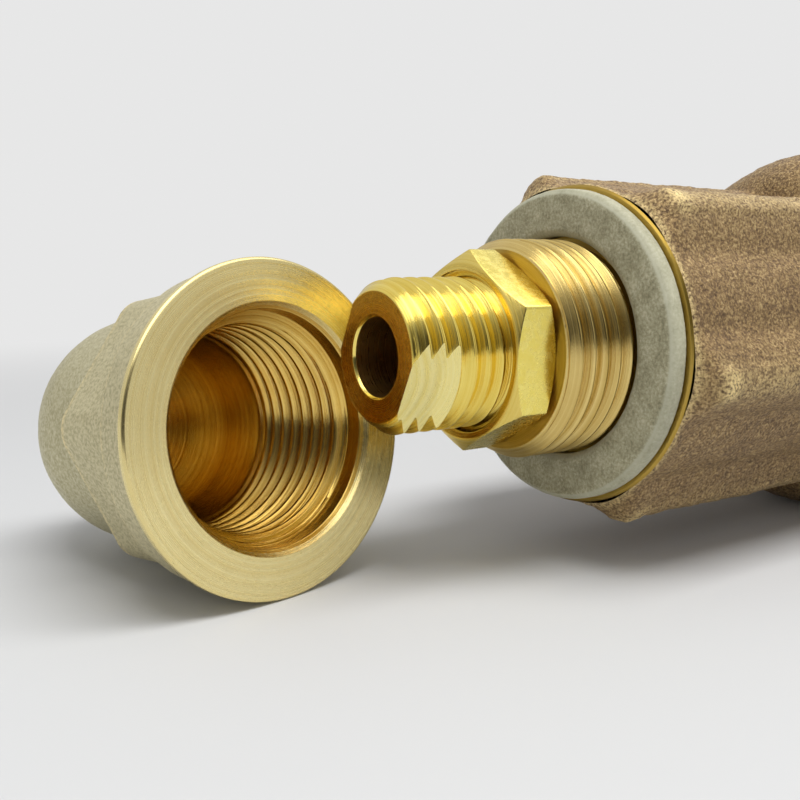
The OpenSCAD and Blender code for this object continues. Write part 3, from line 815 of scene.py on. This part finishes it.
def bonnet():
    t = angles(400)
    skin = Skin()
    form = external_form(BOSS_R, BOSS_ROOT)
    z0, z1 = -BOSS_LEN + 0.1, SEAT_Z - 1.0

    def limit(z):
        return np.minimum(BOSS_ROOT - 0.1 + (z + BOSS_LEN) * 1.15, BOSS_R + 1)

    add_thread(skin, z0, z1, form, limit, t, mark=1)
    first = end_radii(z0, z0, form, limit, t)
    last = end_radii(z1, z0, form, limit, t)
    add_profile(skin, [(z0, first, 0, 1), (-BOSS_LEN, BOSS_ROOT - 0.25, 0.05, 2), (-BOSS_LEN, 9.5, 0.05, 2),
                       (-BOSS_LEN + 0.6, 8.97, 0, 2)], t)
    add_profile(skin, [(z1, last, 0, 2), (z1, 12.6, 0, 2), (SEAT_Z, 12.6, 0.1, 2),
                       (SEAT_Z, SEAT_R - 0.25, 0.1, 2), (SEAT_Z + 0.25, SEAT_R, 0, 2)], t, step=1.0)
    # the casting, one ring at a time
    z = np.concatenate((SEAT_Z + 0.25 + np.array([0, 0.12, 0.25]), np.arange(3.2, BONNET_END - 0.4, 0.4)))
    hexa = with_flats(t, BONNET_AF, RIDGE_TURN, corner=RIDGE_R, dip=FACE_DIP)
    zz = z[:, None]
    off = np.abs((t - math.radians(RIDGE_TURN) + math.pi / 6) % (math.pi / 3) - math.pi / 6)
    valley = 0.55 * np.exp(-(((off - 0.27) / 0.085) ** 2))
    ridge = np.maximum(hexa - SEAT_R - 0.1, -0.2)[None, :] * 1.10 - valley[None, :]
    nose = smoothstep(zz, SEAT_Z - 0.4, SEAT_Z + 2.6)
    rim = smoothstep(zz, SEAT_Z + 0.25, SEAT_Z + 0.7)
    lump = 0.3 * np.exp(-(((zz - 6.0) / 1.5) ** 2)) * np.exp(-((off / 0.085) ** 2))[None, :]
    body = SEAT_R + 0.2 * rim + ridge * nose + lump
    r = smooth_max(body, shoulder(zz) + 0 * body, 1.0)
    r = np.where(zz > BONNET_END - 2.5, np.maximum(r, BARREL_R - 0.02 * (BONNET_END - zz)), r)
    r = np.minimum(r, BARREL_R)
    skin.grid(polar(zz + 0 * r, r, t), 0)
    edge = r[-1]
    add_profile(skin, [(z[-1], edge, 0, 0), (BONNET_END, edge - 0.35, 0.1, 2),
                       (BONNET_END, SPIGOT_R, 0.05, 2), (SPIGOT_END - 0.4, SPIGOT_R, 0.1, 2),
                       (SPIGOT_END, SPIGOT_R - 0.4, 0.1, 2), (SPIGOT_END, ROOM_R + 0.3, 0.1, 2),
                       (SPIGOT_END - 0.3, ROOM_R, 0.1, 2), (14.0, ROOM_R, 0.2, 2), (12.0, 10.0, 0.1, 2),
                       (12.0, 8.97, 0.1, 2), (-BOSS_LEN + 0.6, 8.97, 0, 2)], t, step=2.5)
    obj = skin.build("bonnet_casting", valve_frame(0), [bronze_cast, boss_brass, seat_brass], sharp=40)

    def fade(p):
        return np.clip(p[:, 2] - SEAT_Z, 0, 1) * np.clip(BONNET_END - p[:, 2], 0, 1)

    roughen(obj, {0}, [(14.0, 0.22), (4.0, 0.14), (1.3, 0.12), (0.75, 0.10)], fade=fade, seed=5.0,
            largest=BARREL_R)

    def wear(p):
        angle = np.arctan2(p[:, 1], p[:, 0])
        a = (angle - math.radians(RIDGE_TURN) + math.pi / 6) % (math.pi / 3) - math.pi / 6
        near = np.exp(-((a / 0.09) ** 2))
        tip = np.exp(-(((p[:, 2] - 6.0) / 1.4) ** 2))
        run = 0.3 * smoothstep(p[:, 2], 4, 9) * (1 - smoothstep(p[:, 2], 40, 46))
        lip = np.exp(-(((p[:, 2] - SEAT_Z - 0.4) / 0.4) ** 2)) * 0.5
        return near * (tip + run) + lip

    paint_wear_and_highlight(obj, wear)
    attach(obj, "valve")
    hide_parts("bonnet")


bonnet()


# ---------------------------------------------------------------- body and inlet end

BODY_START, BODY_END = 61.5, 104.0
OUTLET, OUTLET_REACH, OUTLET_R = 83.0, 50.0, 20.5
DRAIN, DRAIN_REACH, DRAIN_R = 88.0, 30.0, 9.0
CHAMBER_R = 19.5
CAST_LAYERS = [(14.0, 0.20), (4.0, 0.13), (1.3, 0.11), (0.8, 0.08)]   # size and height of the cast grain
PIPE_PITCH, PIPE_MINOR_R, PIPE_MAJOR_R = 2.309, 15.15, 16.55


def branch_frame(station, side):
    """Local Z out of a branch towards world +Y for side 1, or -Y for side -1, and local X down or up."""
    return valve_frame(station) @ Matrix.Rotation(math.radians(-90 * side), 4, "X")


def place(obj, body, nodes, slot):
    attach(obj, body)
    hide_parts(*nodes)
    return obj


def ring_piece(name, matrix, controls, material, body, node, slot, step=None, cols=160, wave=0.0):
    """A closed ring turned from a profile, its outer edge a little uneven if wave is given."""
    t = angles(cols)
    skin = Skin()
    add_profile(skin, [(z, r + (wave * np.sin(5 * t + 2 * z) if wave and r > 15 else 0), c, m)
                       for z, r, c, m in controls], t, step=step)
    return place(skin.build(name, matrix, [material]), body, [node], slot)


def branch_skin(t, radius, flare, low, high, stretch, bore):
    """The base and foot of a branch: a saddle inside the barrel's wall and a fillet out of the barrel."""
    def out(r, wall):
        return np.sqrt(np.maximum(wall**2 - (r * np.cos(t)) ** 2, 1.0))

    rows = [(out(r, CHAMBER_R + 0.1), np.full_like(t, r)) for r in np.linspace(bore, radius + flare, 8)]
    a = (out(radius + flare, BARREL_R) - 0.6, radius + flare)
    b = (out(radius, BARREL_R), radius)
    c = (b[0] + flare * 1.3, radius)
    for k in np.linspace(0, 1, 10):
        rows.append(tuple(a[i] * (1 - k) ** 2 + b[i] * 2 * k * (1 - k) + c[i] * k * k for i in (0, 1)))
    steps = int(stretch / 0.8)
    top = rows[-1][0]
    for k in range(1, steps + 1):
        rows.append((top + (high - top) * k / steps, radius))
    z = np.array([row[0] for row in rows])
    r = np.array([np.broadcast_to(row[1], t.shape) for row in rows])
    points = polar(z, r, t)
    points[..., 1] = np.clip(points[..., 1], *low)
    return points


def casting_body():
    t = angles(300)
    skin = Skin()
    add_profile(skin, [(BODY_START, BARREL_R - 0.5, 0, 0), (BODY_START + 0.5, BARREL_R, 0.3, 0),
                       (BODY_END - 0.9, BARREL_R, 0.4, 0), (BODY_END, BARREL_R - 0.9, 0, 0)], t, step=0.62)
    add_profile(skin, [(BODY_END, BARREL_R - 0.9, 0, 1), (BODY_END, 17.5, 0.1, 1),
                       (BODY_END - 0.4, 17.05, 0.1, 1), (92.0, 17.05, 0.1, 1), (92.0, CHAMBER_R, 0.3, 1),
                       (71.0, CHAMBER_R, 0.1, 1), (71.0, 22.0, 0.1, 1), (BODY_START + 0.4, 22.0, 0.1, 1),
                       (BODY_START, 22.4, 0.1, 1), (BODY_START, BARREL_R - 0.5, 0, 1)], t)
    barrel = skin.build("valve_body", valve_frame(0), [bronze_cast, seat_brass], sharp=40)
    roughen(barrel, {0}, CAST_LAYERS, seed=21.0, largest=BARREL_R)
    cutters = []
    for station, side, reach, bore in ((OUTLET, 1, OUTLET_REACH, 8.6), (DRAIN, -1, DRAIN_REACH, 4.9)):
        top = 14.6 if side > 0 else bore
        wide_from = reach - 20 if side > 0 else 29
        cone = Skin()
        add_profile(cone, [(5, 0, 0, 0), (5, bore, 0, 0), (20, bore, 0, 0), (wide_from, top, 0, 0),
                           (reach, top, 0, 0), (reach, 0, 0, 0)], angles(64))
        cutters.append(cone.build("cutter", branch_frame(station, side), [seat_brass]))
    cut(barrel, cutters)
    finish_mesh(barrel.data, 40)

    t = angles(240)
    band = with_flats(t, 42.0, 22.5, corner=2.0, sides=8)
    skin = Skin()
    start = OUTLET_REACH - 15.0
    foot = branch_skin(t, OUTLET_R, 2.6, (-20.8, 21.3), start - 1.4, 12.0, 8.0)
    skin.grid(foot, 0)
    add_profile(skin, [(start - 1.4, OUTLET_R, 0, 0), (start - 0.3, OUTLET_R + 0.1, 0.3, 0),
                       (start + 0.5, band, 0.5, 0), (OUTLET_REACH - 1.0, band, 0.4, 0),
                       (OUTLET_REACH - 0.2, band - 0.9, 0, 0)], t, step=0.7)
    form = [(0.0, PIPE_MINOR_R), (0.15, PIPE_MINOR_R), (0.30, PIPE_MINOR_R + 0.2), (0.56, PIPE_MAJOR_R - 0.1),
            (0.60, PIPE_MAJOR_R), (0.64, PIPE_MAJOR_R - 0.1), (0.90, PIPE_MINOR_R + 0.2)]
    z0, z1 = OUTLET_REACH - 20.0, OUTLET_REACH - 0.15

    def lead(z):
        return PIPE_MINOR_R + np.maximum(0, z - (OUTLET_REACH - 1.8)) * 1.0 + 0 * z

    add_thread(skin, z0, z1, form, lead, t, mark=1, keep=np.maximum, pitch=PIPE_PITCH, rows_per_pitch=14)
    mouth = end_radii(z1, z0, form, lead, t, keep=np.maximum, pitch=PIPE_PITCH)
    inner = end_radii(z0, z0, form, lead, t, keep=np.maximum, pitch=PIPE_PITCH)
    add_profile(skin, [(OUTLET_REACH - 0.2, band - 0.9, 0, 1), (OUTLET_REACH, band - 1.1, 0.05, 1),
                       (OUTLET_REACH, PIPE_MAJOR_R + 0.5, 0.1, 1), (z1, mouth, 0, 1)], t)
    add_profile(skin, [(z0, inner, 0, 1), (z0, 14.0, 0.2, 1), (20.0, 8.0, 0.6, 1),
                       (foot[0, :, 2], 8.0, 0, 1)], t)
    outlet = skin.build("outlet_branch", branch_frame(OUTLET, 1), [bronze_cast, seat_brass], sharp=40)
    roughen(outlet, {0}, CAST_LAYERS, seed=33.0, fade=lambda p: smoothstep(OUTLET_REACH - p[:, 2], 0, 1.2))

    t = angles(120)
    skin = Skin()
    foot = branch_skin(t, DRAIN_R, 1.8, (-15.6, 15.6), 29.2, 1.0, 4.65)
    skin.grid(foot, 0)
    add_profile(skin, [(29.2, DRAIN_R, 0, 0), (29.6, DRAIN_R, 0.1, 1), (DRAIN_REACH, DRAIN_R - 0.5, 0.1, 1),
                       (DRAIN_REACH, 5.0, 0.1, 1), (29.6, 4.65, 0.1, 1), (foot[0, :, 2], 4.65, 0, 1)], t)
    drain = skin.build("drain_boss", branch_frame(DRAIN, -1), [bronze_cast, seat_brass], sharp=40)
    roughen(drain, {0}, CAST_LAYERS, seed=41.0, fade=lambda p: smoothstep(29.2 - p[:, 2], 0, 1.0))
    for piece in (barrel, outlet, drain):
        place(piece, "valve", ["body"], "cast_bronze")


casting_body()


nozzle_side = turned("nozzle_side", (0.76, 0.62, 0.34), (0.60, 0.46, 0.21),
                     rough=0.3, aniso=0.0, ring_tone=0.3)


def nozzle():
    t = hex_angles(90)
    skin = Skin()
    h = with_flats(t, 56.0, 90, corner=0.6)
    slope = math.tan(math.radians(30))
    face, start, end, tip = 27.5, 105.5, 118.0, 134.0
    # the screw's thread form, stretched to the pipe thread's depth
    form = [(phase, PIPE_MINOR_R + (r - SCREW_ROOT) / (SCREW_R - SCREW_ROOT) * (PIPE_MAJOR_R - PIPE_MINOR_R))
            for phase, r in external_form(SCREW_R, SCREW_ROOT)]

    def limit(z):
        run_out = PIPE_MINOR_R - 0.4 + np.maximum(z - end - 1.2, 0)
        return np.minimum(PIPE_MINOR_R - 0.3 + np.abs(tip - z) * 1.0, run_out)

    z0, z1 = end + 1.2, tip - 0.1
    first = end_radii(z0, z0, form, limit, t, pitch=PIPE_PITCH)
    last = end_radii(z1, z0, form, limit, t, pitch=PIPE_PITCH)
    add_profile(skin, [(86.0, 9.5, 0, 0), (86.0, 10.3, 0.1, 0), (89.0, 13.0, 0.2, 0), (92.0, 13.0, 0, 0),
                       (92.0, 16.2, 0.1, 0), (92.8, 17.0, 0.1, 0), (start, 17.0, 0, 0), (start, face, 0.2, 0),
                       (start + (h - face) * slope, h, 0.25, 1), (end - (h - face) * slope, h, 0.25, 0),
                       (end, face, 0.2, 0), (end, PIPE_MINOR_R - 0.4, 0.3, 0), (z0, first, 0, 0)], t)
    add_thread(skin, z0, z1, form, limit, t, mark=0, pitch=PIPE_PITCH, rows_per_pitch=16)
    add_profile(skin, [(z1, last, 0, 0), (tip, PIPE_MINOR_R - 0.5, 0.1, 0), (tip, 10.3, 0.1, 0),
                       (tip - 0.8, 9.5, 0.1, 0), (86.0, 9.5, 0, 0)], t)
    obj = skin.build("inlet_nozzle", valve_frame(0), [plain_brass, nozzle_side], sharp=40)
    place(obj, "valve", ["nozzle"], "dull_brass")


nozzle()

ring_piece("body_joint_gasket", valve_frame(60.0), [
    (0, 22.1, 0, 0), (0, 27.5, 0.15, 0), (0.75, 27.6, 0.3, 0), (1.5, 27.5, 0.15, 0), (1.5, 22.1, 0, 0),
    (0, 22.1, 0, 0)],
    fibre, "valve", "bonnet_gasket", "fibre", cols=240)
ring_piece("inlet_gasket", valve_frame(104.0), [
    (0, 17.1, 0, 0), (0, 21.9, 0.3, 0), (0.75, 22.0, 0.3, 0), (1.5, 21.9, 0.3, 0), (1.5, 17.1, 0, 0),
    (0, 17.1, 0, 0)],
    copper, "valve", "nozzle_gasket", "copper")
ring_piece("drain_seal", branch_frame(DRAIN, -1), [
    (30.0, 4.7, 0, 0), (30.0, 7.4, 0.2, 0), (30.5, 7.5, 0.2, 0), (31.0, 7.4, 0.2, 0), (31.0, 4.7, 0, 0),
    (30.0, 4.7, 0, 0)],
    copper, "valve", "drain_gasket", "copper", cols=96)


def drain_plug():
    t = hex_angles(0, cols=144)
    skin = Skin()
    h = with_flats(t, 12.0, 0, corner=0.2)
    slope = math.tan(math.radians(30))
    add_profile(skin, [
        (21.0, 0, 0, 0), (21.0, 4.1, 0.2, 0), (21.5, 4.6, 0.1, 0), (31.0, 4.6, 0, 0), (31.0, 7.1, 0.1, 0),
        (31.2, 7.3, 0.1, 0), (31.8, 7.3, 0.1, 0), (32.0, 7.1, 0.1, 0), (32.0, h, 0.05, 1),
        (36.99 - (h - 5.9) * slope, h, 0.1, 0), (36.99, 5.9, 0.1, 0), (36.99, 0, 0, 0)], t)
    obj = skin.build("drain_screw", branch_frame(DRAIN, -1), [nut_brass, nut_side], sharp=40)
    place(obj, "valve", ["drain_plug"], "bright_brass")


drain_plug()


# ---------------------------------------------------------------- spring

def spring():
    """Round wire; the end turns lie closer together, and their tips are cut square."""
    wire, mean, turns, start = 1.5, 12.0, 4.5, 21.0 + 1.55
    span, closing, lift = 50.0 - 21.0 - 3.1, 0.2 / math.pi, 0.0045
    u = np.linspace(0, 1, int(turns * 44) + 1)[:, None]
    side = angles(18)[None, :]
    turn = u * turns * TAU
    reach = mean + wire * np.cos(side)
    z = start + span * (u - closing * np.sin(TAU * u)) + wire * np.sin(side)
    tube = np.stack((reach * np.cos(turn), reach * np.sin(turn), z), -1)
    for end in (0, -1):
        centre = tube[end].mean(axis=0)
        cap_end = np.broadcast_to(centre, tube[end].shape)[None]
        tube = np.concatenate((cap_end, tube) if end == 0 else (tube, cap_end))
    skin = Skin()
    skin.grid(tube, 0)
    obj = skin.build("coil_spring", valve_frame(0), [spring_steel], sharp=60)
    place(obj, "valve", ["spring"], "spring_steel")
    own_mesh(obj)


spring()


# ---------------------------------------------------------------- stage, light and camera

def floor_material(pale):
    g = Graph("table")
    x, y, _ = g.xyz()
    away = g.math("SQRT", g.math("ADD", g.math("MULTIPLY", x, x), g.math("MULTIPLY", y, y)))
    g.set(colour=(0.635, 0.64, 0.645), rough=0.6, metal=0.0, level=0.1)
    glow = g.nodes.new("ShaderNodeEmission")
    glow.inputs["Color"].default_value = (*pale, 1)
    glow.inputs["Strength"].default_value = 1.0
    blend = g.nodes.new("ShaderNodeMixShader")
    g.links.new(g.span(away, 0.10, 0.42), blend.inputs[0])
    g.links.new(g.bsdf.outputs[0], blend.inputs[1])
    g.links.new(glow.outputs[0], blend.inputs[2])
    g.links.new(blend.outputs[0], g.nodes["Material Output"].inputs["Surface"])
    return g.material


BACKGROUND = (0.80, 0.80, 0.80)


def make_floor():
    bm = bmesh.new()
    rings = [0.1, 0.3, 1.0, 6.0]
    around = np.linspace(0, TAU, 65)[:-1]
    loops = [[bm.verts.new((r * math.cos(a), r * math.sin(a), 0)) for a in around] for r in rings]
    centre = bm.verts.new((0, 0, 0))
    n = len(loops[0])
    for i in range(n):
        bm.faces.new((centre, loops[0][i], loops[0][(i + 1) % n]))
        for a, b in zip(loops, loops[1:]):
            bm.faces.new((a[i], b[i], b[(i + 1) % n], a[(i + 1) % n]))
    bmesh.ops.recalc_face_normals(bm, faces=bm.faces)
    mesh = bpy.data.meshes.new("table")
    bm.to_mesh(mesh)
    bm.free()
    mesh.materials.append(floor_material(BACKGROUND))
    obj = bpy.data.objects.new("table", mesh)
    bpy.context.scene.collection.objects.link(obj)
    obj.location = ((SEAT - 5) * MM, 0, FLOOR_Z - 0.0001)


make_floor()


def make_world():
    """Even pale surroundings, brighter overhead and darker on the side where a photographer would stand."""
    world = bpy.data.worlds.new("studio")
    bpy.context.scene.world = world
    world.use_nodes = True
    nodes, links = world.node_tree.nodes, world.node_tree.links
    nodes.clear()
    out = nodes.new("ShaderNodeOutputWorld")
    seen, felt = nodes.new("ShaderNodeBackground"), nodes.new("ShaderNodeBackground")
    seen.inputs["Color"].default_value = (*BACKGROUND, 1)
    mix, path = nodes.new("ShaderNodeMixShader"), nodes.new("ShaderNodeLightPath")
    where = nodes.new("ShaderNodeTexCoord")

    def towards(direction, lo, hi, to_lo, to_hi):
        dot = nodes.new("ShaderNodeVectorMath")
        dot.operation = "DOT_PRODUCT"
        dot.inputs[1].default_value = Vector(direction).normalized()
        links.new(where.outputs["Generated"], dot.inputs[0])
        span = nodes.new("ShaderNodeMapRange")
        span.interpolation_type = "SMOOTHSTEP"
        for key, value in (("From Min", lo), ("From Max", hi), ("To Min", to_lo), ("To Max", to_hi)):
            span.inputs[key].default_value = value
        links.new(dot.outputs["Value"], span.inputs["Value"])
        return span.outputs[0]

    parts = [towards(*w) for w in WORLD]
    total = parts[0]
    for part in parts[1:]:
        node = nodes.new("ShaderNodeMath")
        node.operation = "MULTIPLY"
        links.new(total, node.inputs[0])
        links.new(part, node.inputs[1])
        total = node.outputs[0]
    links.new(total, felt.inputs["Strength"])
    felt.inputs["Color"].default_value = (1.0, 1.0, 1.0, 1)
    links.new(path.outputs["Is Camera Ray"], mix.inputs[0])
    soft, fill = nodes.new("ShaderNodeMixShader"), nodes.new("ShaderNodeBackground")
    fill.inputs["Color"].default_value = (1.0, 1.0, 1.0, 1)
    fill.inputs["Strength"].default_value = FILL
    links.new(path.outputs["Is Diffuse Ray"], soft.inputs[0])
    links.new(felt.outputs[0], soft.inputs[1])
    links.new(fill.outputs[0], soft.inputs[2])
    links.new(soft.outputs[0], mix.inputs[1])
    links.new(seen.outputs[0], mix.inputs[2])
    links.new(mix.outputs[0], out.inputs["Surface"])


FILL = 0.47                                  # brightness of the surroundings on matt surfaces
# direction, cosines between which it changes, and the brightness at each: these multiply
WORLD = [
    ((0, 0, 1), -0.1, 0.8, 0.55, 0.80),
    ((-0.62, -0.78, 0.05), 0.52, 0.95, 1.0, 0.08),
]
make_world()


def area_light(name, at, towards, size, power, colour=(1, 1, 1)):
    light = bpy.data.lights.new(name, "AREA")
    light.shape = "RECTANGLE"
    light.size, light.size_y = size
    light.energy, light.color = power, colour
    obj = bpy.data.objects.new(name, light)
    bpy.context.scene.collection.objects.link(obj)
    obj.location = at
    obj.rotation_euler = (Vector(towards) - Vector(at)).to_track_quat("-Z", "Y").to_euler()
    return obj


shine = area_light("softbox_shine", (-0.134, -0.06, 0.60), (-0.134, 0.0, 0.0), (1.3, 0.46), 3.4)
shine.visible_diffuse = False
key = area_light("softbox_key", (-0.12, -0.24, 0.58), (-0.134, 0.0, 0.0), (0.6, 0.24), 4.1)
key.visible_glossy = False


def make_camera():
    camera = bpy.data.cameras.new("camera")
    camera.sensor_width, camera.lens = 36.0, 42.494
    camera.clip_start, camera.clip_end = 0.002, 20.0
    obj = bpy.data.objects.new("camera", camera)
    bpy.context.scene.collection.objects.link(obj)
    right = Vector((0.8317, -0.5552, 0.0)).normalized()
    forward = Vector((0.5497, 0.8233, -0.1413)).normalized()
    right = (right - forward * right.dot(forward)).normalized()
    up = right.cross(forward)
    turn = Matrix((right, up, -forward)).transposed().to_4x4()
    obj.matrix_world = Matrix.Translation(Vector((-216.57, -88.98, 10.20)) * MM) @ turn
    bpy.context.scene.camera = obj


make_camera()
bpy.context.scene.view_settings.view_transform = "Standard"
bpy.context.view_layer.update()
